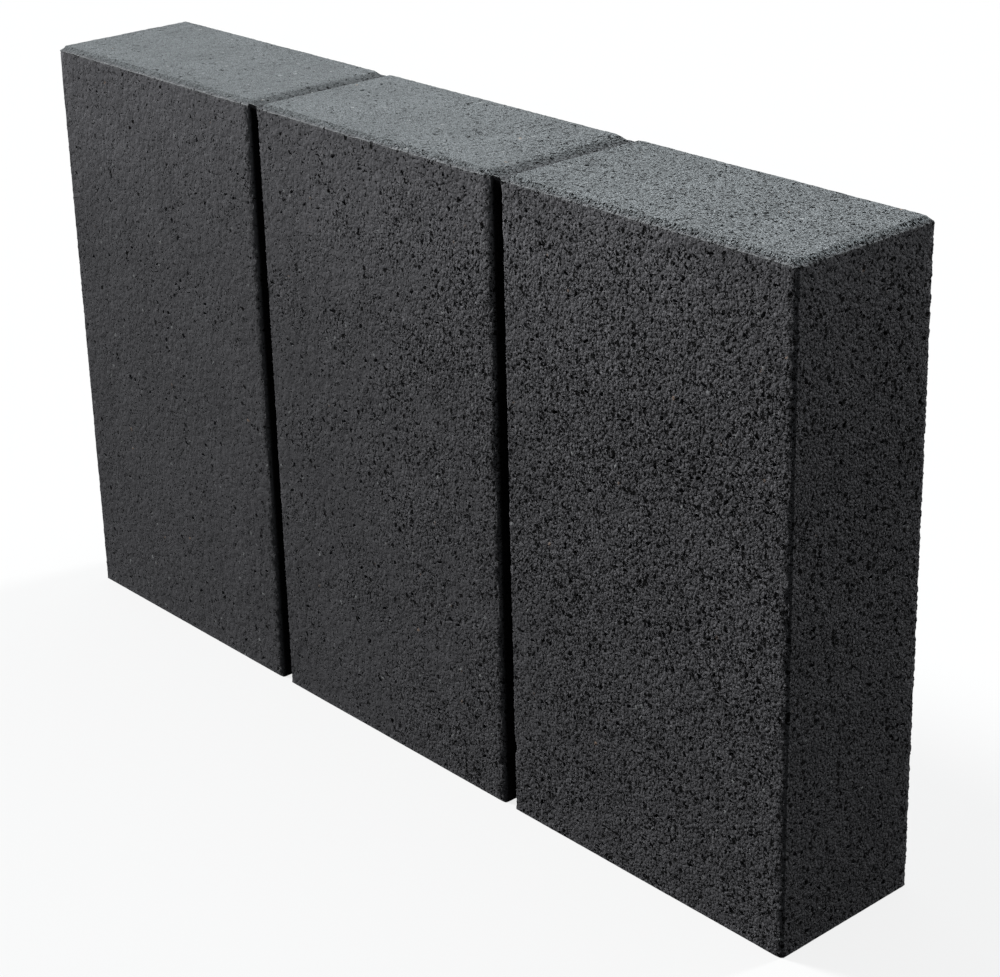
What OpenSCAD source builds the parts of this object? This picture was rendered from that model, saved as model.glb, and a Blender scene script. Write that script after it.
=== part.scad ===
// Concrete edging block: one dry-pressed piece that looks like a short row of
// upright blocks. False joints run up its front face and get shallow below the top,
// a shallow groove crosses the top over each joint, and a pressed bevel runs round the
// top. The back is plain.
// X runs along the block, -Y is the front, and Z is up from the foot.

/* [Block] */
// Length from end to end
length = 500; // [300:10:1000]
// Thickness from the front face to the back face
depth = 80; // [60:1:150]
// Height from the foot to the flat of the top
height = 300; // [150:5:500]

/* [Sections] */
// Number of sections that the false joints mark out
sections = 3; // [2:1:5]
// Width of a false joint
joint_w = 6; // [3:0.5:12]
// Depth of a false joint below the face
joint_depth = 8; // [5:0.5:20]
// Depth that is left of a false joint at its top end
joint_end_depth = 1; // [0.5:0.25:4]
// Height over which it gets that shallow, down from the bevel's lower edge
joint_run = 9; // [2:0.5:20]
// Radius of the upright edges at the corners and beside the joints
edge_r = 2; // [1:0.25:4.5]

/* [Top] */
// Width of the bevel round the top, seen from above
bevel_w = 3; // [1:0.5:8]
// Drop from the flat of the top to the bevel's lower edge
bevel_drop = 2.5; // [0.5:0.25:5]
// Width of the groove that crosses the top over each joint
groove_w = 13.5; // [6:0.5:30]
// Depth of that groove below the flat of the top
groove_drop = 2; // [0.5:0.25:6]

/* [Hidden] */
$fn = 48;

pitch = (length + joint_w) / sections;
section_w = pitch - joint_w;
web_length = (sections - 1) * pitch;
concrete_colour = [0.2, 0.2, 0.21];

// Middle of a section, counted from the left end
function section_x(i) = (i - (sections - 1) / 2) * pitch;
// Middle of the false joint to the right of a section
function joint_x(i) = section_x(i) + pitch / 2;

// One section seen from above: a rectangle with rounded corners
module section_plan() {
    square([section_w - 2 * edge_r, depth], center = true);
    square([section_w, depth - 2 * edge_r], center = true);
    for (x = [-1, 1], y = [-1, 1])
        translate([x * (section_w / 2 - edge_r), y * (depth / 2 - edge_r)])
            circle(r = edge_r);
}

// Outline of the web behind the joints, seen from the end
web_outline = [
    [-depth / 2 + joint_depth, 0],
    [depth / 2, 0],
    [depth / 2, height],
    [-depth / 2 + joint_end_depth, height],
    [-depth / 2 + joint_end_depth, height - bevel_drop],
    [-depth / 2 + joint_depth, height - bevel_drop - joint_run],
];

// Outline seen from the end, with the bevel along the front and the back
end_outline = [
    [-depth / 2, 0],
    [depth / 2, 0],
    [depth / 2, height - bevel_drop],
    [depth / 2 - bevel_w, height],
    [-depth / 2 + bevel_w, height],
    [-depth / 2, height - bevel_drop],
];

// Groove points over one false joint, from right to left
function groove_points(i) = [
    [joint_x(i) + groove_w / 2, height],
    [joint_x(i), height - groove_drop],
    [joint_x(i) - groove_w / 2, height],
];

// Outline seen from the front, with the bevel at both ends and the grooves
front_outline = concat(
    [
        [-length / 2, 0],
        [length / 2, 0],
        [length / 2, height - bevel_drop],
        [length / 2 - bevel_w, height],
    ],
    [for (i = [sections - 2 : -1 : 0], p = groove_points(i)) p],
    [
        [-length / 2 + bevel_w, height],
        [-length / 2, height - bevel_drop],
    ]
);

// The sections and the web that joins them, before the top is shaped
module joined_sections() {
    for (i = [0 : sections - 1])
        translate([section_x(i), 0]) linear_extrude(height) section_plan();
    rotate([90, 0, 90])
        translate([0, 0, -web_length / 2])
            linear_extrude(web_length) polygon(web_outline);
}

module edging_block() {
    color(concrete_colour)
        intersection() {
            joined_sections();
            rotate([90, 0, 90])
                translate([0, 0, -length / 2])
                    linear_extrude(length) polygon(end_outline);
            rotate([90, 0, 0])
                translate([0, 0, -depth / 2])
                    linear_extrude(depth) polygon(front_outline);
        }
}

edging_block();
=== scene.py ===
"""Dresses the concrete edging block: rough pressed concrete, its worn edges, studio light and camera.

The block stands with its foot on Z = 0. X runs along it, -Y is its front, and lengths are in metres.
"""

import math
from collections import namedtuple

import bpy
import numpy as np
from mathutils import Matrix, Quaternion, Vector, geometry, noise


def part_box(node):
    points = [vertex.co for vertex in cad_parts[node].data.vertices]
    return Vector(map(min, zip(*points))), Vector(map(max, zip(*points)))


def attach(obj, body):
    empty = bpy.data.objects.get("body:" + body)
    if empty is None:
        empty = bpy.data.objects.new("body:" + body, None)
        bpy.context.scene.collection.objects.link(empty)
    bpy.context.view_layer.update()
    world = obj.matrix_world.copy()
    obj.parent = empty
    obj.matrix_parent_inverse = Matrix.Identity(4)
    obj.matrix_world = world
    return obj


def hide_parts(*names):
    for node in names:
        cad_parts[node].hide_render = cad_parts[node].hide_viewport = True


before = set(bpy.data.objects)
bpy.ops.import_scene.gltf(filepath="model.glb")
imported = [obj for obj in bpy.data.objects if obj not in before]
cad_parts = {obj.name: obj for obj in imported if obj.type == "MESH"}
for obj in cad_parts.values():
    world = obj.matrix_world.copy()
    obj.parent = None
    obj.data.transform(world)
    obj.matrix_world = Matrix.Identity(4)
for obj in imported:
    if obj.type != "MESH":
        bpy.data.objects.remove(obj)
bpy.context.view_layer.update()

MM = 0.001
TINY = 1e-9

# ---------------------------------------------------------------- sizes of the block
LOW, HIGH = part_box("edging_block")
HALF_LENGTH = (HIGH.x - LOW.x) / 2
HALF_DEPTH = (HIGH.y - LOW.y) / 2
HEIGHT = HIGH.z - LOW.z
SPAN = ((-HALF_LENGTH, HALF_LENGTH), (-HALF_DEPTH, HALF_DEPTH))

SECTIONS = 3
JOINT_WIDTH = 6 * MM
JOINT_DEPTH = 8 * MM
# The joints get shallow over the last stretch below the bevel
JOINT_END_DEPTH = 1 * MM
JOINT_RUN = 9 * MM
# The upright edges came out crisper than their nominal radius
EDGE_RADIUS = 1.4 * MM
BEVEL_WIDTH = 3 * MM
BEVEL_DROP = 2.5 * MM
BEVEL_FOOT = HEIGHT - BEVEL_DROP
PITCH = (2 * HALF_LENGTH + JOINT_WIDTH) / SECTIONS
JOINTS = [(i + 1) * PITCH - JOINT_WIDTH / 2 - HALF_LENGTH for i in range(SECTIONS - 1)]
# Each groove slopes gently on its left side and steeply on its right. The press wore
# unevenly, so the last groove is wider and deeper than the first one.
Groove = namedtuple("Groove", "left bottom right drop")
GROOVES = [
    Groove(JOINTS[0] - 5 * MM, JOINTS[0] + 4.6 * MM, JOINTS[0] + 7.4 * MM, 2.1 * MM),
    Groove(JOINTS[1] - 7 * MM, JOINTS[1] + 4.2 * MM, JOINTS[1] + 7.0 * MM, 2.5 * MM),
]

# ---------------------------------------------------------------- fineness of the mesh
SEED = 41
RIM_SPACING = 1.5 * MM
EDGE_SPACING = 0.75 * MM
EDGE_ROW_SPACING = 2.4 * MM
# Rows of points this far outside a rounded edge keep its neighbours off it
EDGE_GUARD = 0.5 * MM
FRONT_SPACING = 3.2 * MM
JOINT_SPACING = 3.4 * MM
END_SPACING = 3.2 * MM
BACK_SPACING = 4.6 * MM
TOP_SPACING = 2.7 * MM
FOOT_SPACING = 12 * MM
# How far the points of a rim or an edge keep others off
RIM_ROOM = 0.4 * RIM_SPACING
FOOT_ROOM = 0.6 * RIM_SPACING
EDGE_ROOM = 0.5 * EDGE_SPACING
# A place counts as in a joint up to this far outside it
JOINT_MARGIN = 0.01 * MM

# ---------------------------------------------------------------- roughness of the mesh
# Pits tried for each square metre
SIDE_PITS = 68_000
BACK_PITS = 16_000
TOP_PITS = 30_000
SMALLEST_PIT = 0.45 * MM
WIDEST_PIT = 1.4 * MM
# The faces swell gently over long and short distances, and are gritty all over
LONG_SWELL = 0.10 * MM
SHORT_SWELL = 0.05 * MM
GRIT = 0.2 * MM
# What is broken off the upright edges and off the rim of the top
EDGE_BREAKS = 1.7 * MM
EDGE_GRIT = 0.45 * MM
RIM_BREAKS = 0.5 * MM
RIM_GRIT = 0.2 * MM
# A chip out of the last section's left edge
CHIP_HEIGHT = 32 * MM
CHIP_RADIUS = 2.4 * MM
CHIP_DEPTH = 1.5 * MM
# The bottom edge gets only this share of it all, so it stays crisper than the rest
FOOT_SHARE = 0.4
# Painted shade draws a dark line along the bottom of each groove, as if it were this deep
GROOVE_SHADE_DEPTHS = (0.7 * MM, 1.3 * MM)
# How open the concrete is halfway along, how much more so at the right end, and how much
# that wanders in wide and in narrow patches
MIDDLE_OPENNESS = 0.36
END_OPENNESS = 0.46
WIDE_PATCHES = 0.6
NARROW_PATCHES = 0.5
LEAST_OPENNESS = 0.02
# The rim of the top is that much more broken than the rest
RIM_OPENNESS = 0.5


# ---------------------------------------------------------------- outline seen from above
# Length, spacing of the mesh, whether it starts in an inside corner, and a function
# that gives the places and outward normals at shares of its length
Stretch = namedtuple("Stretch", "length spacing corner at")


def straight(start, end, spacing, corner=False):
    """A flat face, seen from above as a straight line."""
    start, end = np.array(start), np.array(end)
    length = np.linalg.norm(end - start)
    along = (end - start) / length
    normal = np.array([along[1], -along[0]])

    def at(share):
        return start + share[:, None] * (end - start), np.repeat(normal[None], len(share), axis=0)

    return Stretch(length, spacing, corner, at)


def round_edge(centre, first_angle):
    """A quarter turn, from the angle in degrees at which it starts."""
    def at(share):
        angle = math.radians(first_angle) + share * math.pi / 2
        normals = np.stack([np.cos(angle), np.sin(angle)], axis=1)
        return np.array(centre) + EDGE_RADIUS * normals, normals

    return Stretch(EDGE_RADIUS * math.pi / 2, EDGE_SPACING, False, at)


def back_and_left_end():
    """The plain half of the outline, walked anticlockwise."""
    x, y, r = HALF_LENGTH, HALF_DEPTH, EDGE_RADIUS
    return [
        straight((x - r, y), (-x + r, y), BACK_SPACING),
        round_edge((-x + r, y - r), 90),
        straight((-x, y - r), (-x, -y + r), END_SPACING),
        round_edge((-x + r, -y + r), 180),
    ]


def front_and_right_end():
    """The half with the false joints, walked on from the other one."""
    front, r = -HALF_DEPTH, EDGE_RADIUS
    stretches = []
    x = -HALF_LENGTH + r
    for joint in JOINTS:
        left, right = joint - JOINT_WIDTH / 2, joint + JOINT_WIDTH / 2
        bottom = front + JOINT_DEPTH
        stretches.append(straight((x, front), (left - r, front), FRONT_SPACING))
        stretches.append(round_edge((left - r, front + r), -90))
        stretches.append(straight((left, front + r), (left, bottom), JOINT_SPACING))
        stretches.append(straight((left, bottom), (right, bottom), JOINT_SPACING, corner=True))
        stretches.append(straight((right, bottom), (right, front + r), JOINT_SPACING, corner=True))
        stretches.append(round_edge((right + r, front + r), 180))
        x = right + r
    stretches.append(straight((x, front), (HALF_LENGTH - r, front), FRONT_SPACING))
    stretches.append(round_edge((HALF_LENGTH - r, front + r), -90))
    stretches.append(straight((HALF_LENGTH, front + r), (HALF_LENGTH, -front - r), END_SPACING))
    stretches.append(round_edge((HALF_LENGTH - r, -front - r), 0))
    return stretches


class Outline:
    """The whole way round the block. It starts at the back, where the sheet of the sides is joined up."""

    def __init__(self):
        self.stretches = back_and_left_end() + front_and_right_end()
        self.ends = np.cumsum([stretch.length for stretch in self.stretches])
        self.starts = self.ends - [stretch.length for stretch in self.stretches]
        self.length = self.ends[-1]
        self.back_end = self.ends[0]

    def at(self, distances):
        """Places and outward normals at distances walked round the block."""
        points = np.zeros((len(distances), 2))
        normals = np.zeros((len(distances), 2))
        found = np.searchsorted(self.ends, distances, side="right")
        for i, stretch in enumerate(self.stretches):
            here = found == i
            share = (distances[here] - self.starts[i]) / stretch.length
            points[here], normals[here] = stretch.at(share)
            if stretch.corner:
                # In an inside corner a point moves away from both faces
                before = self.stretches[i - 1].at(np.ones(1))[1]
                normals[here] += np.where(share[:, None] < TINY, before, 0)
        return points, normals

    def on_edge(self, distances):
        """Whether each distance lies on a rounded edge."""
        found = np.searchsorted(self.ends, distances, side="right") % len(self.stretches)
        return np.array([stretch.spacing == EDGE_SPACING for stretch in self.stretches])[found]

    def stations(self):
        """Distances of the points along the rim of the top and the edge of the foot."""
        found = []
        for start, stretch in zip(self.starts, self.stretches):
            steps = max(1, round(stretch.length / min(RIM_SPACING, stretch.spacing)))
            found.extend(start + stretch.length * k / steps for k in range(steps))
        return np.array(found)


# ---------------------------------------------------------------- points of the surface
class Sheet2D:
    """Points of one flattened sheet of the surface, each kept clear of the others."""

    # Size of the square cells in which neighbours are looked up
    CELL = 3.5 * MM
    # A pit keeps others off by so many times its radius and a little more, and a plain
    # point by a share of its spacing
    PIT_ROOM = 1.45
    PIT_MARGIN = 0.1 * MM
    POINT_ROOM = 0.3
    # A pit's depth and the reach of its rim as shares of its radius, how far it is pulled out
    # of round, and how far its corners stray as a share of the angle between two of them
    PIT_DEPTH = (0.9, 1.4)
    PIT_REACH = (0.7, 1.1)
    PIT_STRETCH = (0.1, 0.6)
    PIT_STRAY = 0.2
    # From this radius on a pit has a floor, at a share of its reach and depth
    FLOORED_PIT = 0.75 * MM
    PIT_FLOOR_REACH = 0.55
    PIT_FLOOR_DEPTH = 0.85
    # How far a plain point strays from its place in its row, as a share of the spacing
    STRAY = 0.25

    def __init__(self, rng):
        self.rng = rng
        self.points = []
        self.depths = []
        self.pits = []
        self.pit_count = 0
        self.cells = {}
        self.links = []

    def add(self, x, y, depth=0.0, pit=-1):
        self.points.append((x, y))
        self.depths.append(depth)
        self.pits.append(pit)
        return len(self.points) - 1

    def claim(self, x, y, room):
        """Keeps the others off a place, or says no if one of them is there already."""
        column, row = int(x // self.CELL), int(y // self.CELL)
        for i in (column - 1, column, column + 1):
            for j in (row - 1, row, row + 1):
                for other_x, other_y, other_room in self.cells.get((i, j), ()):
                    if (x - other_x) ** 2 + (y - other_y) ** 2 < (room + other_room) ** 2:
                        return False
        self.cells.setdefault((column, row), []).append((x, y, room))
        return True

    def fence(self, points, room):
        """Adds a row of points that belong to an edge. Returns their numbers."""
        for x, y in points:
            self.cells.setdefault((int(x // self.CELL), int(y // self.CELL)), []).append((x, y, room))
        return [self.add(x, y) for x, y in points]

    def dig(self, x, y, radius):
        """One open pit with an uneven rim and, if it is wide enough, a floor."""
        if not self.claim(x, y, radius * self.PIT_ROOM + self.PIT_MARGIN):
            return
        rng = self.rng
        depth = radius * rng.uniform(*self.PIT_DEPTH)
        floored = radius >= self.FLOORED_PIT
        corners = 8 if floored else 5
        turn = rng.uniform(0, 2 * math.pi)
        stretch = rng.uniform(*self.PIT_STRETCH)
        self.add(x, y, depth)
        for k in range(corners):
            stray = rng.uniform(-self.PIT_STRAY, self.PIT_STRAY)
            angle = turn + (k + stray) * 2 * math.pi / corners
            reach = radius * rng.uniform(*self.PIT_REACH) * (1 + stretch * math.cos(2 * (angle - turn)))
            self.add(x + reach * math.cos(angle), y + reach * math.sin(angle), 0, self.pit_count)
            if floored:
                reach *= self.PIT_FLOOR_REACH
                floor = depth * self.PIT_FLOOR_DEPTH
                self.add(x + reach * math.cos(angle), y + reach * math.sin(angle), floor)
        self.pit_count += 1

    def scatter_pits(self, x_range, y_range, per_area, openness):
        """Pits at random, more of them where openness is near 1. The widest come first."""
        area = (x_range[1] - x_range[0]) * (y_range[1] - y_range[0])
        tries = int(per_area * area)
        x = self.rng.uniform(*x_range, tries)
        y = self.rng.uniform(*y_range, tries)
        kept = self.rng.random(tries) < openness(x, y)
        # Most of them are small
        radii = SMALLEST_PIT + (WIDEST_PIT - SMALLEST_PIT) * self.rng.random(tries) ** 3
        order = np.argsort(-radii[kept])
        for px, py, radius in zip(x[kept][order], y[kept][order], radii[kept][order]):
            self.dig(px, py, radius)

    def fill(self, x_range, y_range, spacing):
        """Plain points in loose staggered rows wherever there is room left."""
        rows = max(1, round((y_range[1] - y_range[0]) / (spacing * math.sqrt(0.75))))
        columns = max(1, round((x_range[1] - x_range[0]) / spacing))
        for row in range(rows):
            for column in range(columns):
                stagger = 0.25 + 0.5 * (row % 2)
                share_x = (column + stagger + self.rng.uniform(-self.STRAY, self.STRAY)) / columns
                share_y = (row + 0.5 + self.rng.uniform(-self.STRAY, self.STRAY)) / rows
                x = x_range[0] + share_x * (x_range[1] - x_range[0])
                y = y_range[0] + share_y * (y_range[1] - y_range[0])
                if self.claim(x, y, spacing * self.POINT_ROOM):
                    self.add(x, y)

    def triangles(self, loop):
        """Triangles over the sheet inside a loop of point numbers."""
        points = [Vector(p) for p in self.points]
        made = geometry.delaunay_2d_cdt(points, self.links, [loop], 1, TINY)
        origin = [found[0] for found in made[3]]
        return np.array([[origin[i] for i in face] for face in made[2]])


def noise_at(points, size, offset=0.0):
    """Smooth noise from about -1 to 1, with features of the given size."""
    shift = Vector((offset, offset * 0.7, offset * 1.3))
    return np.array([noise.noise(Vector(p) / size + shift) for p in points])


def openness_at(points):
    """How open the concrete is, from 0 to 1. It was packed less well towards its right end."""
    along = points[:, 0] / HALF_LENGTH
    patches = WIDE_PATCHES * noise_at(points, 42 * MM, 3.1) + NARROW_PATCHES * noise_at(points, 11 * MM, 6.2)
    return np.clip(MIDDLE_OPENNESS + END_OPENNESS * along + patches, LEAST_OPENNESS, 1)


def to_rim(x, y):
    """Distance in from the outer edges of the top."""
    return np.minimum(HALF_LENGTH - np.abs(x), HALF_DEPTH - np.abs(y))


def across_groove(groove, x):
    """From 0 beside a groove to 1 at its bottom."""
    return np.interp(x, groove[:3], (0, 1, 0))


def in_groove(x):
    """The same for whichever groove is there."""
    return np.max([across_groove(groove, x) for groove in GROOVES], axis=0)


def in_joint(plan):
    """Whether places seen from above lie in a joint or on its rounded edges."""
    reach = JOINT_WIDTH / 2 + EDGE_RADIUS + JOINT_MARGIN
    beside = np.min([np.abs(plan[:, 0] - joint) for joint in JOINTS], axis=0) < reach
    return beside & (plan[:, 1] < -HALF_DEPTH + JOINT_DEPTH + JOINT_MARGIN)


def raise_joints(plan, heights):
    """Brings places in a joint forward where the joint gets shallow below the top."""
    depth = np.interp(heights, (BEVEL_FOOT - JOINT_RUN, BEVEL_FOOT), (JOINT_DEPTH, JOINT_END_DEPTH))
    share = np.where(in_joint(plan), depth / JOINT_DEPTH, 1)
    return np.column_stack([plan[:, 0], (plan[:, 1] + HALF_DEPTH) * share - HALF_DEPTH])


def top_height(points):
    """Height of the pressed top over each point seen from above: flat, bevelled rim and grooves."""
    x, y = points[:, 0], points[:, 1]
    drop = BEVEL_DROP * np.clip(1 - to_rim(x, y) / BEVEL_WIDTH, 0, 1)
    for groove in GROOVES:
        drop = np.maximum(drop, groove.drop * across_groove(groove, x))
    return HEIGHT - drop


# ---------------------------------------------------------------- the sheets
def side_sheet(outline, stations, rng):
    """The sides unrolled: distance round the block, and height before the top's shape is taken off.

    Returns the sheet, its triangles and the numbers of the points along the foot, along the
    rim and along the lines where a flat face meets a rounded edge.
    """
    sheet = Sheet2D(rng)
    steps = round(HEIGHT / JOINT_SPACING)
    levels = HEIGHT * np.arange(1, steps) / steps
    foot = sheet.fence([(u, 0) for u in stations] + [(outline.length, 0)], RIM_ROOM)
    right = sheet.fence([(outline.length, z) for z in levels], RIM_ROOM)
    rim = sheet.fence([(u, HEIGHT) for u in stations] + [(outline.length, HEIGHT)], RIM_ROOM)
    left = sheet.fence([(0, z) for z in levels], RIM_ROOM)
    loop = foot + right + rim[::-1] + left[::-1]
    steps = round(HEIGHT / EDGE_ROW_SPACING)
    rows = HEIGHT * np.arange(1, steps) / steps
    tangents = []

    def column(u):
        """A straight row of points up the side, for an edge that has to stay straight."""
        wander = rng.uniform(-0.3, 0.3, len(rows)) * EDGE_ROW_SPACING
        return sheet.fence([(u % outline.length, z) for z in rows + wander], EDGE_ROOM)

    def station(u, numbers):
        return numbers[int(np.argmin(np.abs(stations - u)))]

    def tangent(u):
        """A row where a flat face meets a rounded edge."""
        numbers = column(u)
        sheet.links.extend(zip(numbers, numbers[1:]))
        tangents.extend(numbers)

    for start, stretch in zip(outline.starts, outline.stretches):
        if stretch.corner:
            numbers = [station(start, foot)] + column(start) + [station(start, rim)]
            sheet.links.extend(zip(numbers, numbers[1:]))
        elif stretch.spacing == EDGE_SPACING:
            end = start + stretch.length
            column(start - EDGE_GUARD)
            tangent(start)
            for u in np.arange(start + EDGE_SPACING, end - EDGE_SPACING * 0.1, EDGE_SPACING):
                column(u)
            if end < outline.length - EDGE_SPACING:
                tangent(end)
            column(end + EDGE_GUARD)

    def openness(u, z):
        return openness_at(np.column_stack([outline.at(u)[0], z]))

    sheet.scatter_pits((outline.back_end, outline.length), (0, HEIGHT), SIDE_PITS, openness)
    sheet.scatter_pits((0, outline.back_end), (0, HEIGHT), BACK_PITS, openness)
    for start, stretch in zip(outline.starts, outline.stretches):
        sheet.fill((start, start + stretch.length), (0, HEIGHT), stretch.spacing)

    # The two ends of the sheet meet, so the second one's points give way to the first one's
    same = np.arange(len(sheet.points))
    same[right] = left
    same[foot[-1]] = foot[0]
    same[rim[-1]] = rim[0]
    return sheet, same[sheet.triangles(loop)], foot[:-1], rim[:-1], tangents


def top_sheet(edge, edge_normals, rng):
    """The top seen from above, its triangles and the numbers of the points along its folds."""
    top = Sheet2D(rng)
    loop = top.fence(edge, RIM_ROOM)
    folds = []

    def fold(points):
        folds.extend(top.add(*p) for p in points if top.claim(*p, RIM_ROOM))

    y = np.arange(-HALF_DEPTH + BEVEL_WIDTH, HALF_DEPTH - RIM_SPACING / 2, RIM_SPACING)
    for groove in GROOVES:
        for x in (groove.bottom, groove.right):
            fold(np.column_stack([np.full(len(y), x), y]))
    outer = (np.abs(edge[:, 0]) > HALF_LENGTH - EDGE_RADIUS) | (np.abs(edge[:, 1]) > HALF_DEPTH - TINY)
    fold((edge - edge_normals * BEVEL_WIDTH)[outer])

    def openness(x, y):
        beside_rim = to_rim(x, y) < 2 * BEVEL_WIDTH
        return openness_at(np.column_stack([x, y, np.full(len(x), HEIGHT)])) + RIM_OPENNESS * beside_rim

    top.scatter_pits(*SPAN, TOP_PITS, openness)
    top.fill(*SPAN, TOP_SPACING)
    return top, top.triangles(loop), folds


def foot_sheet(edge, rng):
    """The flat foot seen from above, and its triangles."""
    foot = Sheet2D(rng)
    loop = foot.fence(edge, FOOT_ROOM)
    foot.fill(*SPAN, FOOT_SPACING)
    return foot, foot.triangles(loop)


# ---------------------------------------------------------------- the mesh
# The closed surface: places, outward normals, triangles, how deep each point lies in a pit,
# the pit whose rim it is on or -1, and yes or no for each point: is it on one of the sides,
# the top, the foot, the rim of the top, a fold of the top, a rounded edge, or a line where a
# rounded edge starts
Surface = namedtuple("Surface", "points normals faces hollow pits side top foot rim fold edge tangent")


def chosen(count, numbers):
    """Yes for the points with the given numbers and no for the others."""
    found = np.zeros(count, bool)
    found[numbers] = True
    return found


def smooth_surface(rng):
    """The sides, the top and the foot put together, before they are roughened."""
    outline = Outline()
    stations = outline.stations()
    edge, edge_normals = outline.at(stations)
    top_edge = raise_joints(edge, np.full(len(edge), HEIGHT))

    side, side_faces, foot_numbers, rim_numbers, tangents = side_sheet(outline, stations, rng)
    flat = np.array(side.points)
    plan, plan_normals = outline.at(np.minimum(flat[:, 0], outline.length - TINY))
    heights = flat[:, 1] / HEIGHT * top_height(raise_joints(plan, np.full(len(plan), HEIGHT)))
    top, top_faces, folds = top_sheet(top_edge, edge_normals, rng)
    foot, foot_faces = foot_sheet(edge, rng)

    # One list of points: the sides with both rims, then the rest of the top and of the foot
    rim_count = len(stations)
    top_rest = np.array(top.points[rim_count:])
    foot_rest = np.array(foot.points[rim_count:])
    points = np.concatenate([
        np.column_stack([raise_joints(plan, heights), heights]),
        np.column_stack([top_rest, top_height(top_rest)]),
        np.column_stack([foot_rest, np.zeros(len(foot_rest))]),
    ])
    normals = np.concatenate([
        np.column_stack([plan_normals, np.zeros(len(plan))]),
        np.tile([0.0, 0.0, 1.0], (len(top_rest), 1)),
        np.tile([0.0, 0.0, -1.0], (len(foot_rest), 1)),
    ])
    top_pits = np.array(top.pits[rim_count:])
    top_pits[top_pits >= 0] += side.pit_count

    count = len(points)
    top_start, foot_start = len(flat), len(flat) + len(top_rest)
    top_lookup = np.concatenate([rim_numbers, np.arange(top_start, foot_start)])
    foot_lookup = np.concatenate([foot_numbers, np.arange(foot_start, count)])
    on_side = np.arange(count) < top_start
    rim = chosen(count, rim_numbers)
    return Surface(
        points=points,
        normals=normals,
        faces=np.concatenate([side_faces, top_lookup[top_faces], foot_lookup[foot_faces][:, ::-1]]),
        hollow=np.concatenate([side.depths, top.depths[rim_count:], np.zeros(len(foot_rest))]),
        pits=np.concatenate([side.pits, top_pits, np.full(len(foot_rest), -1)]),
        side=on_side,
        top=rim | chosen(count, np.arange(top_start, foot_start)),
        foot=points[:, 2] < TINY,
        rim=rim,
        fold=chosen(count, top_lookup[folds]),
        edge=np.concatenate([outline.on_edge(flat[:, 0]), np.zeros(count - top_start, bool)]),
        tangent=chosen(count, tangents),
    )


def roughened(surface, rng):
    """The places of the surface's points once pits, swells and breaks are in."""
    points = surface.points
    depth = surface.hollow + swell(points, rng)
    depth[surface.edge] += edge_wear(points[surface.edge], rng)
    depth[surface.foot] *= FOOT_SHARE
    moved = points - surface.normals * depth[:, None]
    moved[surface.rim, 2] -= rim_wear(points[surface.rim], rng)
    moved[surface.foot, 2] = 0
    return moved


def swell(points, rng):
    """How far each point lies below the pressed face, apart from pits: gentle swells, grit and a chip."""
    slow = LONG_SWELL * (1 + noise_at(points, 25 * MM))
    quick = SHORT_SWELL * (1 + noise_at(points, 7 * MM, 9.7))
    chip = np.array([JOINTS[-1] + JOINT_WIDTH / 2, -HALF_DEPTH, CHIP_HEIGHT])
    broken = np.exp(-(np.linalg.norm(points - chip, axis=1) / CHIP_RADIUS) ** 2)
    return slow + quick + GRIT * rng.random(len(points)) + CHIP_DEPTH * broken


def edge_wear(points, rng):
    """Small breaks in the upright edges, more of them where the concrete is open."""
    patches = np.clip(noise_at(points, 3.2 * MM, 5.3) + 0.25 * openness_at(points) - 0.33, 0, 1)
    return EDGE_BREAKS * patches + EDGE_GRIT * rng.random(len(points))


def rim_wear(points, rng):
    """How much is broken off the rim of the top."""
    return np.abs(noise_at(points, 3 * MM)) * RIM_BREAKS + rng.random(len(points)) * RIM_GRIT


def groove_shade_line(surface, rng):
    """Painted shade along the bottom of each groove, most of it in the last one."""
    bottom = surface.fold & (in_groove(surface.points[:, 0]) > 0.99)
    first, last = GROOVE_SHADE_DEPTHS
    shade_depth = np.zeros(len(bottom))
    shade_depth[bottom] = np.where(surface.points[bottom, 0] > 0, last, first) * rng.random(bottom.sum())
    return shade_depth


def concrete_mesh():
    """The block's surface, with what the material needs to know about each point."""
    rng = np.random.default_rng(SEED)
    surface = smooth_surface(rng)
    moved = roughened(surface, rng)
    x, y = surface.points[:, 0], surface.points[:, 1]
    marks = {
        # The depths of the pits, and the painted shade lines along the bottom of the grooves
        "hollow": (surface.hollow + groove_shade_line(surface, rng)) / MM,
        "lip": surface.rim,
        "joint": surface.side * in_joint(surface.points) * (y + HALF_DEPTH) / JOINT_DEPTH,
        "groove": surface.top * in_groove(x),
    }
    mesh = bpy.data.meshes.new("edging_block_surface")
    mesh.from_pydata(moved.tolist(), [], surface.faces.tolist())
    for name, values in marks.items():
        mesh.attributes.new(name, "FLOAT", "POINT").data.foreach_set("value", values.astype(np.float32))
    mesh.shade_smooth()
    sharpen(mesh, surface.pits, [surface.rim, surface.fold, surface.tangent, surface.foot & surface.side])
    return mesh


def sharpen(mesh, pits, rows):
    """Marks the rims of the pits and the edges within each row of points as sharp."""
    ends = np.zeros(len(mesh.edges) * 2, np.int32)
    mesh.edges.foreach_get("vertices", ends)
    first, second = ends.reshape(-1, 2).T
    sharp = (pits[first] >= 0) & (pits[first] == pits[second])
    for row in rows:
        sharp |= row[first] & row[second]
    mesh.attributes.new("sharp_edge", "BOOLEAN", "EDGE").data.foreach_set("value", sharp)


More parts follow.
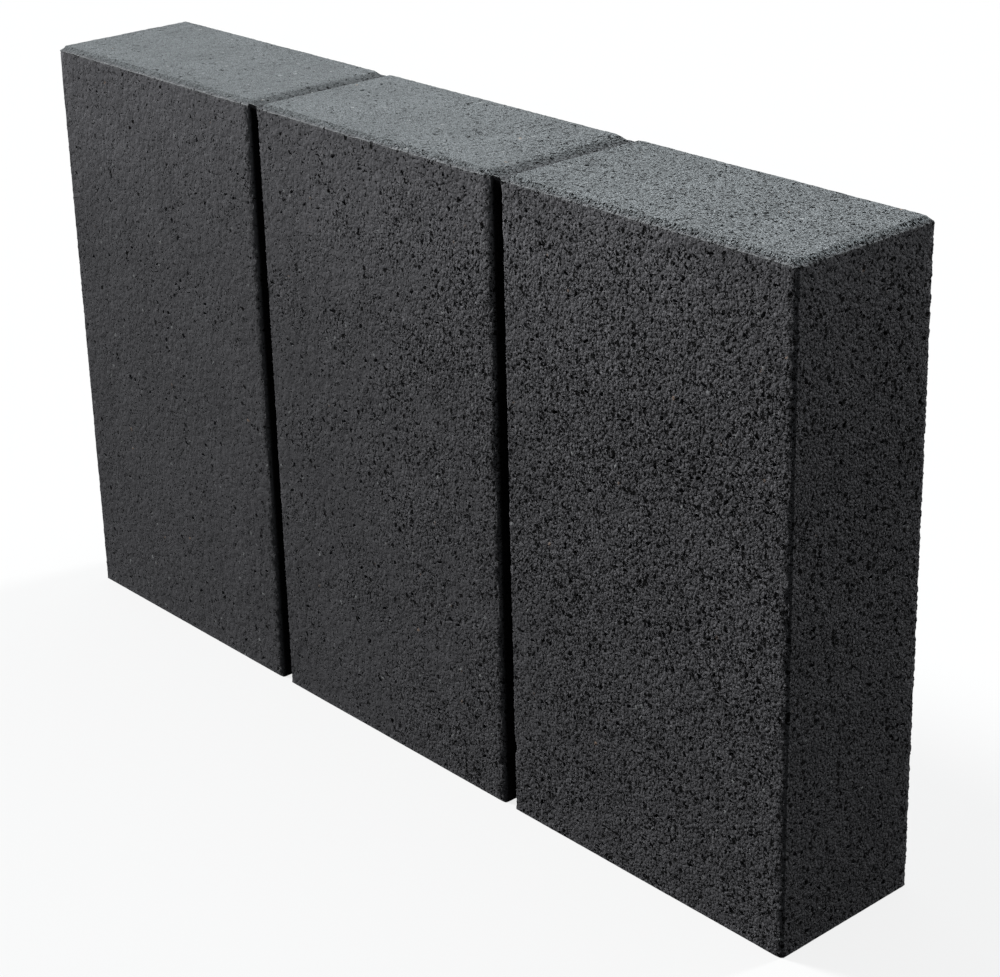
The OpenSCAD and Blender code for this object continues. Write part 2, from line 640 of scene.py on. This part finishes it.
# ---------------------------------------------------------------- nodes
class Wire:
    """A socket that sums can be written with. Each sum adds its Math node."""

    def __init__(self, nodes, socket):
        self.nodes = nodes
        self.socket = socket

    def maths(self, operation, *values):
        return self.nodes.add("ShaderNodeMath", {"operation": operation}, dict(enumerate(values)))

    def __add__(self, other):
        return self.maths("ADD", self, other)

    def __radd__(self, other):
        return self.maths("ADD", other, self)

    def __sub__(self, other):
        return self.maths("SUBTRACT", self, other)

    def __rsub__(self, other):
        return self.maths("SUBTRACT", other, self)

    def __mul__(self, other):
        return self.maths("MULTIPLY", self, other)

    def __rmul__(self, other):
        return self.maths("MULTIPLY", other, self)


class Nodes:
    """The node tree of one material."""

    def __init__(self, name):
        self.material = bpy.data.materials.new(name)
        self.material.use_nodes = True
        self.tree = self.material.node_tree
        self.tree.nodes.clear()

    def add(self, kind, settings=None, inputs=None, output=0):
        """Adds a node, sets it up, then fills its sockets with values or wires."""
        node = self.tree.nodes.new(kind)
        for name, value in (settings or {}).items():
            setattr(node, name, value)
        for name, value in (inputs or {}).items():
            if isinstance(value, Wire):
                self.tree.links.new(value.socket, node.inputs[name])
            else:
                node.inputs[name].default_value = value
        return Wire(self, node.outputs[output]) if node.outputs else None

    def ramp(self, value, low, high, start=0.0, end=1.0):
        """A smooth step from start to end while the value goes from low to high."""
        return self.add("ShaderNodeMapRange", {"interpolation_type": "SMOOTHSTEP"},
                        {"Value": value, "From Min": low, "From Max": high, "To Min": start, "To Max": end},
                        "Result")

    def blend(self, amount, first, second):
        """Mixes two colours."""
        return self.add("ShaderNodeMix", {"data_type": "RGBA"}, {0: amount, 6: first, 7: second}, 2)

    def finish(self, surface):
        self.add("ShaderNodeOutputMaterial", {}, {"Surface": surface})
        return self.material


class ConcreteNodes(Nodes):
    """The nodes of the concrete, with the places, noises and marks that its parts share."""

    def __init__(self, name):
        super().__init__(name)
        self.place = self.add("ShaderNodeTexCoord", output="Object")
        self.along, self.deep, self.high = [
            self.add("ShaderNodeSeparateXYZ", {}, {0: self.place}, axis) for axis in "XYZ"]

    def marked(self, name):
        """What the mesh says about the point."""
        return self.add("ShaderNodeAttribute", {"attribute_name": name}, output="Fac")

    def clouds(self, feature_mm, detail, output=0):
        """Smooth noise around one half, with features of the given size."""
        return self.add("ShaderNodeTexNoise", {}, {
            "Vector": self.place, "Scale": 1 / (feature_mm * MM), "Detail": detail}, output)

    def shaken(self, amount_mm, feature_mm):
        """The place on the block, moved about a little so that grains lose their straight edges."""
        shake = self.add("ShaderNodeVectorMath", {"operation": "SUBTRACT"},
                         {0: self.clouds(feature_mm, 1.0, "Color"), 1: (0.5, 0.5, 0.5)})
        shake = self.add("ShaderNodeVectorMath", {"operation": "SCALE"}, {0: shake, "Scale": amount_mm * MM})
        return self.add("ShaderNodeVectorMath", {"operation": "ADD"}, {0: self.place, 1: shake})

    def grains(self, size_mm, where):
        """Rounded grains: how high each one stands and a number of its own from 0 to 1."""
        inputs = {"Vector": where, "Scale": 1 / (size_mm * MM), "Randomness": 1.0}
        distance = self.add("ShaderNodeTexVoronoi", {"feature": "F1"}, inputs, "Distance")
        number = self.add("ShaderNodeTexVoronoi", {"feature": "F1"}, inputs, "Color")
        number = self.add("ShaderNodeSeparateColor", {}, {"Color": number}, "Red")
        return 1 - distance * distance, number


# ---------------------------------------------------------------- the concrete's material
SIDE_GREY = (0.095, 0.0945, 0.100, 1)
# The pressed top is a cooler grey than the sides: a painted reflection of a bluish sky
TOP_GREY_WITH_PAINTED_SKY = (0.084, 0.0895, 0.0925, 1)
# Painted shade in the pores, holes, pits, grooves and joints
SHADE_BLACK = (0.002, 0.002, 0.002, 1)
PALE_GRAIN_AND_LIP_LIGHT = (0.30, 0.31, 0.31, 1)
RUSTY_GRAIN = (0.27, 0.18, 0.12, 1)
ROUGHNESS = 0.9
# The open pores leave almost no sheen
SHEEN = 0.04
RELIEF = 1.8 * MM

# Sizes of its features in millimetres
LOOSE_PATCH = 38
CLOUDY_PATCH = 26
RUSTY_PATCH = 7
PORE_PATCH = 6
DIMPLE = 3.4
HOLE = 3.0
GRAIN = 1.5
PORE = 1.15
WORN_AND_LIT_BIT = 1.1
LIT_RIM_PATCH = 0.9
SPECK = 0.55

# Levels of the pore noise: below the first there is a pore, at the next two the painted highlight on its rim
# starts and is palest, and between the last two it turns black with painted shade
PORE_LEVEL = 0.415
LIT_RIM_LEVELS = (0.42, 0.37)
PORE_SHADE_LEVELS = (0.342, 0.327)
# How much looser the concrete gets from the middle to the right end, and how much at the back
LOOSER = 0.25
LOOSER_AT_BACK = 0.1
# Between these levels of looseness it goes from tight to open
LOOSE_LEVELS = (0.10, 0.37)
# Heights between which it gets tighter towards the press, just below the rim where the press
# struck, and towards the foot. Each time, the share of the openness that is left or taken off.
PRESS_HEIGHTS = (220 * MM, 290 * MM)
PRESS_OPENNESS = 0.72
STRUCK_HEIGHTS = (280 * MM, 295 * MM)
STRUCK_TIGHTER = 0.25
FOOT_HEIGHTS = (0, 200 * MM)
FOOT_OPENNESS = 0.74

# What the grey is multiplied with, from the foot to the head, and more near the top with painted light from
# above
FOOT_SHADE = 0.86
HEAD_SHADE = 1.1
PAINTED_TOP_LIGHT = 1.45
PAINTED_TOP_LIGHT_HEIGHTS = (190 * MM, 315 * MM)
CLOUDY_SHADES = (0.94, 1.06)
# What is taken off the grey, or added to it, at places that differ from the rest
GROOVE_PAINTED_SHADE = 0.43
TOP_LEFT_DARKER = 0.10
TOP_RIGHT_DARKER = 0.03
LEFT_END_PALER = 0.07
RIGHT_HEAD_LESS_PAINTED_LIGHT = 0.25
RIGHT_BEVEL_PAINTED_LIGHT = 0.4
# Where each part of the block begins and where it is reached in full: along the block, up it or
# across it
LEFT_END = (-40 * MM, -180 * MM)
RIGHT_END = (140 * MM, 250 * MM)
HEAD = (150 * MM, 290 * MM)
RIGHT_BEVEL = (HALF_LENGTH - 3.4 * MM, HALF_LENGTH - 2.2 * MM)
TOP = (BEVEL_FOOT - 0.7 * MM, BEVEL_FOOT + 1.3 * MM)
TOP_RIM = (HEIGHT - 0.3 * MM, HEIGHT - 1.0 * MM)
BACK = (HALF_DEPTH - 3 * MM, HALF_DEPTH - MM)

# Shares from 0 to 1: on the pressed top, in a groove, and in open, badly packed concrete
Zones = namedtuple("Zones", "top groove open")


def concrete_zones(nodes):
    top = nodes.ramp(nodes.high, *TOP)
    groove = 0.35 * nodes.marked("groove") + 0.65 * nodes.ramp(nodes.marked("groove"), 0.0, 0.3)
    # Open in loose patches and towards the right end
    looser = nodes.ramp(nodes.deep, *BACK, LOOSER / HALF_LENGTH, LOOSER_AT_BACK / HALF_LENGTH)
    openness = nodes.ramp(0.4 * nodes.clouds(LOOSE_PATCH, 3) + nodes.along * looser, *LOOSE_LEVELS)
    # Tighter towards the top and most of all just below the rim, where the press struck, and
    # towards the foot
    openness = openness * nodes.ramp(nodes.high, *PRESS_HEIGHTS, 1.0, PRESS_OPENNESS)
    openness = openness * (1 - STRUCK_TIGHTER * nodes.ramp(nodes.high, *STRUCK_HEIGHTS) * (1 - top))
    openness = openness * nodes.ramp(nodes.high, *FOOT_HEIGHTS, FOOT_OPENNESS, 1.0)
    return Zones(top, groove, openness)


def pore_noise(nodes, zones):
    """Uneven noise, with a pore wherever it is low."""
    # The rim of the top has broken more where the concrete is open
    rim = zones.top * nodes.ramp(nodes.high, *TOP_RIM) * (1 - zones.groove)
    uneven = nodes.clouds(PORE, 1.5) + 0.05 * (nodes.clouds(PORE_PATCH, 1.0) - 0.5)
    return uneven - (0.071 + 0.06 * rim) * zones.open - 0.05 * zones.groove


def lone_holes(nodes, zones):
    """Single holes, from 0 beside one to 1 in it. They are few where the concrete is tight."""
    middle, chance = nodes.grains(HOLE, nodes.shaken(1.7, 1.4))
    return nodes.ramp(middle, 0.84, 0.92) * nodes.ramp(chance - 0.2 * zones.open, 0.045, 0.005)


def concrete_relief(nodes, zones, pores, holes, dome, number):
    """Fine relief: grains of different heights with pores between them, holes and dimples."""
    pits = pores.maths("MAXIMUM", PORE_LEVEL - pores, 0.0)
    rough = 0.25 * dome + 0.25 * number - 4.0 * pits
    dimples = (0.25 + 0.3 * zones.top) * nodes.clouds(DIMPLE, 1.0)
    return (0.24 + 0.96 * zones.open) * rough - 0.7 * holes + dimples


def grain_tone_and_rim_light(nodes, zones, pores, number):
    """How pale each grain is, with painted highlights on the rims of pores in places, and specks."""
    lit_rims = nodes.ramp(pores, *LIT_RIM_LEVELS) * nodes.ramp(nodes.clouds(LIT_RIM_PATCH, 0.0), 0.48, 0.6)
    speck = nodes.clouds(SPECK, 0.0) - 0.5
    tone = 0.85 + 0.03 * zones.open + (0.22 + 0.06 * zones.open) * number
    tone = tone + (0.1 + 0.9 * zones.open) * lit_rims
    return tone + (0.15 + 1.95 * zones.open + 1.6 * zones.top) * speck


def tone_and_painted_light(nodes, zones):
    """How pale the concrete is at each place of the block, apart from its grain, with painted light from
    above, painted shade in the grooves and painted light on the right bevel.
    """
    along, high = nodes.along, nodes.high
    on_side = 1 - zones.top
    # Darker towards the foot, and paler near the top with painted light from above
    shade = nodes.ramp(high, 0, HEIGHT, FOOT_SHADE, HEAD_SHADE)
    shade = shade * nodes.ramp(high, *PAINTED_TOP_LIGHT_HEIGHTS, 1.0, PAINTED_TOP_LIGHT)
    shade = shade * nodes.ramp(nodes.clouds(CLOUDY_PATCH, 3), 0.3, 0.7, *CLOUDY_SHADES)
    # Painted shade in the grooves
    shade = shade * (1 - GROOVE_PAINTED_SHADE * zones.groove)
    darker = nodes.ramp(along, -HALF_LENGTH, HALF_LENGTH, TOP_LEFT_DARKER, TOP_RIGHT_DARKER)
    shade = shade * (1 - darker * zones.top)
    shade = shade * (1 + LEFT_END_PALER * nodes.ramp(along, *LEFT_END) * on_side)
    # Less of the painted light from above, high up on the sides at the right end
    right_head = nodes.ramp(along, *RIGHT_END) * nodes.ramp(high, *HEAD) * on_side
    shade = shade * (1 - RIGHT_HEAD_LESS_PAINTED_LIGHT * right_head)
    # Painted light on the bevel at the right end makes it paler
    right_bevel = nodes.ramp(along, *RIGHT_BEVEL) * zones.top
    return shade * (1 + RIGHT_BEVEL_PAINTED_LIGHT * right_bevel)


def concrete_colour(nodes, zones, pores, holes, number):
    """Grey with a few pale and rusty grains, worn rims with a painted highlight, and painted shade that
    makes the pores black and the joints dark.
    """
    grey = nodes.blend(zones.top, SIDE_GREY, TOP_GREY_WITH_PAINTED_SKY)
    shade = tone_and_painted_light(nodes, zones) * grain_tone_and_rim_light(nodes, zones, pores, number)
    colour = nodes.add("ShaderNodeVectorMath", {"operation": "SCALE"}, {0: grey, "Scale": shade})
    rusty = nodes.ramp(nodes.clouds(RUSTY_PATCH, 0.0), 0.67, 0.68)
    odd_grain = nodes.blend(rusty, PALE_GRAIN_AND_LIP_LIGHT, RUSTY_GRAIN)
    colour = nodes.blend(0.5 * nodes.ramp(number, 0.995, 0.998), colour, odd_grain)
    # The rim of the top is paler: worn, and with a painted highlight where it catches the light
    worn_and_lit_lip = nodes.ramp(nodes.marked("lip") + 0.6 * (nodes.clouds(WORN_AND_LIT_BIT, 1.0) - 0.5), 0.75, 0.95)
    colour = nodes.blend(0.35 * worn_and_lit_lip, colour, PALE_GRAIN_AND_LIP_LIGHT)
    # Painted shade turns the pores and the holes black
    pore_shade = nodes.ramp(pores + 0.02 * zones.top, *PORE_SHADE_LEVELS)
    pore_shade = pore_shade.maths("MAXIMUM", pore_shade, holes * (1 - 0.7 * zones.top))
    colour = nodes.blend(0.95 * pore_shade, colour, SHADE_BLACK)
    # Painted shade in the pits and along the bottom of the grooves
    pit_shade = nodes.ramp(nodes.marked("hollow"), 0.1, 0.9)
    colour = nodes.blend((0.1 + 0.4 * zones.open + 0.4 * zones.groove) * pit_shade, colour, SHADE_BLACK)
    # Painted shade in the joints, where little light reaches
    return nodes.blend(0.95 * nodes.ramp(nodes.marked("joint"), 0.02, 0.34), colour, SHADE_BLACK)


def concrete():
    nodes = ConcreteNodes("pressed_concrete")
    zones = concrete_zones(nodes)
    pores = pore_noise(nodes, zones)
    holes = lone_holes(nodes, zones)
    dome, number = nodes.grains(GRAIN, nodes.shaken(0.9, 1.2))
    colour = concrete_colour(nodes, zones, pores, holes, number)
    height = concrete_relief(nodes, zones, pores, holes, dome, number)
    bump = nodes.add("ShaderNodeBump", {}, {"Strength": 1.0, "Distance": RELIEF, "Height": height}, "Normal")
    return nodes.finish(nodes.add("ShaderNodeBsdfPrincipled", {}, {
        "Base Color": colour, "Roughness": ROUGHNESS, "Specular IOR Level": SHEEN, "Normal": bump}, "BSDF"))


# ---------------------------------------------------------------- the block
def make_block():
    block = bpy.data.objects.new("edging_block_concrete", concrete_mesh())
    bpy.context.scene.collection.objects.link(block)
    block.data.materials.append(concrete())
    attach(block, "root")
    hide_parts("edging_block")


# ---------------------------------------------------------------- floor, light and camera
FLOOR_REACH = 30
# The floor throws little light back on the block, and is nearly white where it is seen
FLOOR_BOUNCE = (0.07, 0.07, 0.07, 1)
FLOOR_SEEN = (0.5, 0.5, 0.5, 1)
FLOOR_WHITE = 0.8
STUDIO_GLOW = (0.05, 0.053, 0.056, 1)

LENS = 86.4
LENS_SHIFT = -0.1
CAMERA_PLACE = (0.7994, -0.6679, 0.5769)
# Degrees: turned left from +Y, tilted up and rolled
HEADING = 48.71
TILT = -21.36
ROLL = -1.41


def floor_material():
    nodes = Nodes("pale_floor")

    def is_ray(kind):
        return nodes.add("ShaderNodeLightPath", output=f"Is {kind} Ray")

    seen = is_ray("Camera").maths("MAXIMUM", is_ray("Camera"), is_ray("Glossy"))
    seen = seen.maths("MAXIMUM", seen, is_ray("Transmission"))
    grey = nodes.blend(seen, FLOOR_BOUNCE, FLOOR_SEEN)
    lit = nodes.add("ShaderNodeBsdfDiffuse", {}, {"Color": grey}, "BSDF")
    white = nodes.add("ShaderNodeEmission", {}, {"Color": (1, 1, 1, 1), "Strength": 1.0}, "Emission")
    mixed = nodes.add("ShaderNodeMixShader", {}, {0: seen * FLOOR_WHITE, 1: lit, 2: white}, "Shader")
    return nodes.finish(mixed)


def make_floor():
    reach = FLOOR_REACH
    mesh = bpy.data.meshes.new("floor")
    mesh.from_pydata([(-reach, -reach, 0), (reach, -reach, 0), (reach, reach, 0), (-reach, reach, 0)],
                     [], [(0, 1, 2, 3)])
    floor = bpy.data.objects.new("floor", mesh)
    floor.data.materials.append(floor_material())
    bpy.context.scene.collection.objects.link(floor)


def lamp(name, place, strength, softness, colour=(1, 1, 1)):
    """A far lamp aimed at the middle of the block. Its softness is an angle in degrees."""
    data = bpy.data.lights.new(name, "SUN")
    data.energy = strength
    data.angle = math.radians(softness)
    data.color = colour
    item = bpy.data.objects.new(name, data)
    bpy.context.scene.collection.objects.link(item)
    item.location = place
    item.rotation_mode = "QUATERNION"
    item.rotation_quaternion = (Vector((0, 0, HEIGHT / 2)) - Vector(place)).to_track_quat("-Z", "Y")


def make_light():
    lamp("top_light", (-0.3, 0.3, 2.0), strength=1.58, softness=60, colour=(0.9, 1.0, 1.03))
    lamp("front_light", (-1.75, -0.55, 1.45), strength=5.4, softness=12)
    lamp("end_light", (0.25, 1.0, 0.95), strength=2.5, softness=8)
    world = bpy.data.worlds.new("studio")
    bpy.context.scene.world = world
    world.use_nodes = True
    world.node_tree.nodes["Background"].inputs["Color"].default_value = STUDIO_GLOW


def make_camera():
    data = bpy.data.cameras.new("camera")
    data.lens = LENS
    data.shift_y = LENS_SHIFT
    camera = bpy.data.objects.new("camera", data)
    bpy.context.scene.collection.objects.link(camera)
    bpy.context.scene.camera = camera
    heading, tilt, roll = math.radians(HEADING), math.radians(TILT), math.radians(ROLL)
    look = Vector((
        -math.sin(heading) * math.cos(tilt),
        math.cos(heading) * math.cos(tilt),
        math.sin(tilt),
    ))
    camera.location = CAMERA_PLACE
    camera.rotation_mode = "QUATERNION"
    camera.rotation_quaternion = look.to_track_quat("-Z", "Y") @ Quaternion((0, 0, 1), roll)


make_block()
make_floor()
make_light()
make_camera()
bpy.context.scene.view_settings.view_transform = "Standard"
